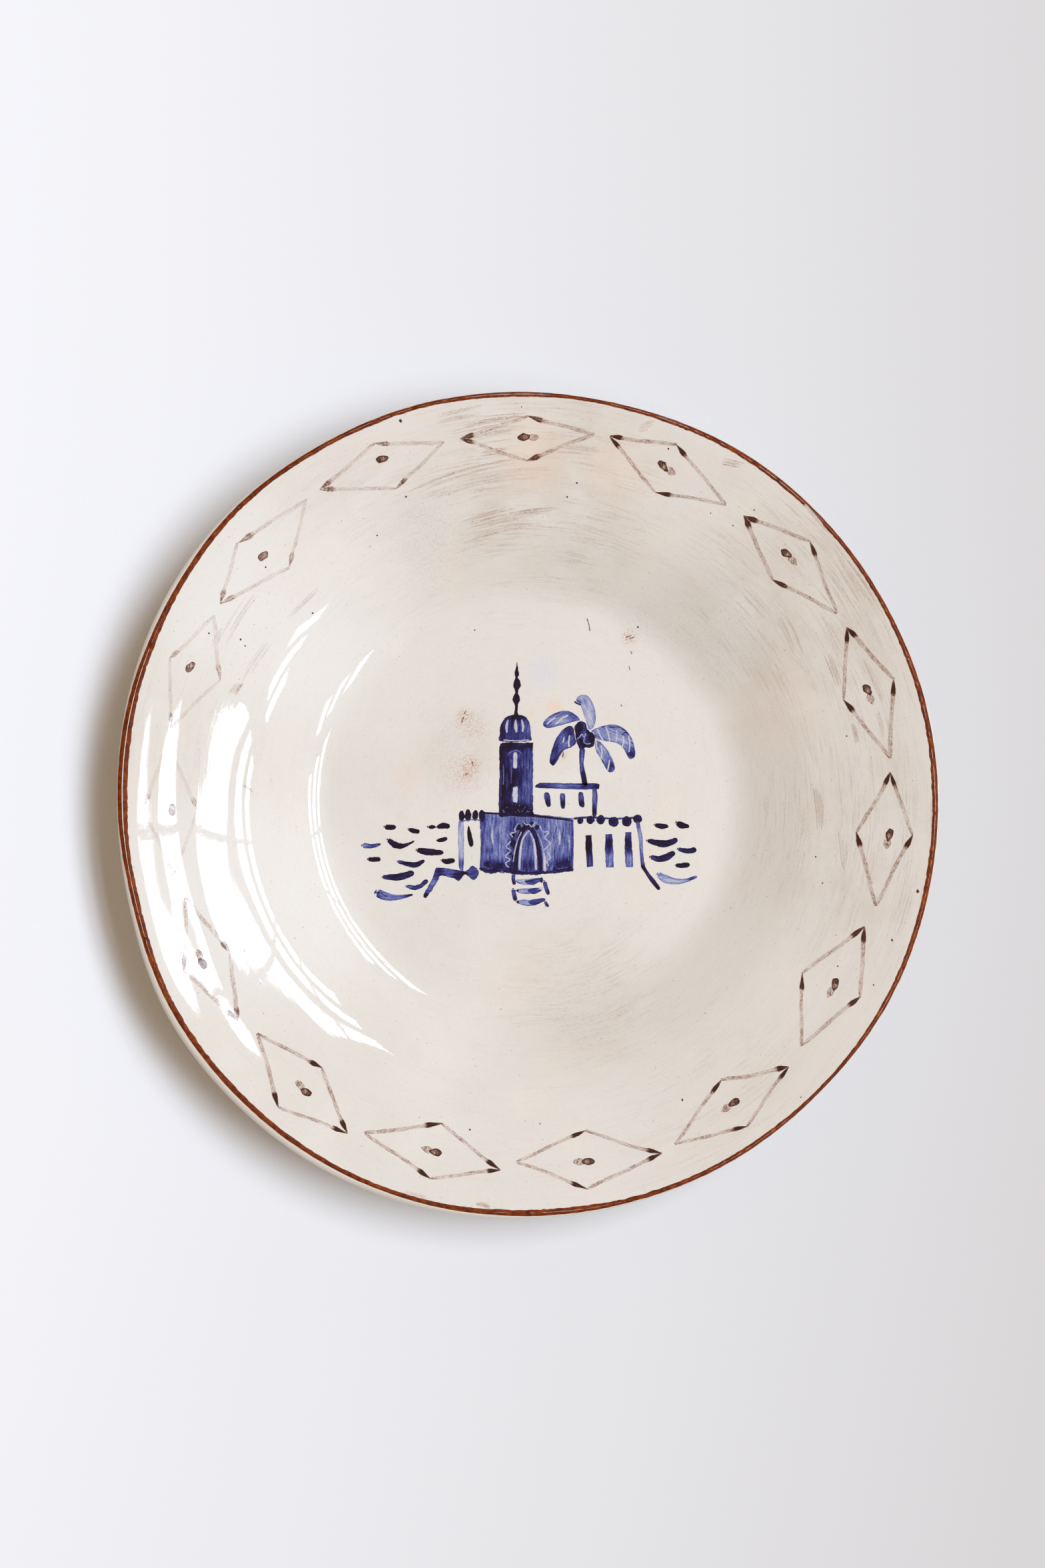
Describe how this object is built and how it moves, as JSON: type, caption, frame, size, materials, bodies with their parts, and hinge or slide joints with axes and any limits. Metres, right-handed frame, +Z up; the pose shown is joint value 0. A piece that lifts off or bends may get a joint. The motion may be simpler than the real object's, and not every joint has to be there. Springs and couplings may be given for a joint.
{
  "type": "painted ceramic plate",
  "caption": "Shallow round dinner plate on a foot ring, red clay with a cream glaze, brown diamonds round a wide flange and a blue painted waterside town on the floor.",
  "frame": {"origin": "centre of the plate on the surface it stands on", "axes": "+Z up out of the eating surface; +Y towards the top of the painted scene; +X to its right"},
  "size_m": [0.263, 0.263, 0.029],
  "materials": {
    "red_clay": "fired red earthenware, glazed over at the bare lip",
    "foot_clay": "bare fired red earthenware, matt",
    "face_glaze": "cream-white slip under clear gloss glaze",
    "back_glaze": "cream-white slip under clear gloss glaze",
    "brown_paint": "brown brush painting, streaky, under clear glaze",
    "dark_blue_paint": "cobalt blue painting, nearly black where thick",
    "mid_blue_paint": "cobalt blue wash",
    "pale_blue_paint": "thin cobalt blue wash"
  },
  "bodies": {
    "root": {"back_coat": "back_glaze", "body": "red_clay", "diamond_01": "brown_paint", "diamond_02": "brown_paint", "diamond_03": "brown_paint", "diamond_04": "brown_paint", "diamond_05": "brown_paint", "diamond_06": "brown_paint", "diamond_07": "brown_paint", "diamond_08": "brown_paint", "diamond_09": "brown_paint", "diamond_10": "brown_paint", "diamond_11": "brown_paint", "diamond_12": "brown_paint", "diamond_13": "brown_paint", "diamond_14": "brown_paint", "diamond_15": "brown_paint", "dot_01": "brown_paint", "dot_02": "brown_paint", "dot_03": "brown_paint", "dot_04": "brown_paint", "dot_05": "brown_paint", "dot_06": "brown_paint", "dot_07": "brown_paint", "dot_08": "brown_paint", "dot_09": "brown_paint", "dot_10": "brown_paint", "dot_11": "brown_paint", "dot_12": "brown_paint", "dot_13": "brown_paint", "dot_14": "brown_paint", "dot_15": "brown_paint", "face_coat": "face_glaze", "foot_ring": "foot_clay", "gate_door": "dark_blue_paint", "gatehouse": "mid_blue_paint", "house_roof_line": "mid_blue_paint", "house_window_1": "dark_blue_paint", "house_window_2": "dark_blue_paint", "house_window_3": "dark_blue_paint", "left_wall_post": "pale_blue_paint", "left_wall_slit": "dark_blue_paint", "minaret_dome": "dark_blue_paint", "minaret_finial": "dark_blue_paint", "minaret_tower": "dark_blue_paint", "palm_crown": "dark_blue_paint", "palm_frond_left": "mid_blue_paint", "palm_frond_lower_left": "mid_blue_paint", "palm_frond_lower_right": "mid_blue_paint", "palm_frond_right": "pale_blue_paint", "palm_frond_top": "pale_blue_paint", "palm_trunk": "mid_blue_paint", "right_battlement": "dark_blue_paint", "right_wall_post": "pale_blue_paint", "right_window_1": "dark_blue_paint", "right_window_2": "dark_blue_paint", "right_window_3": "dark_blue_paint", "shore_line": "mid_blue_paint"}
  },
  "joints": []
}
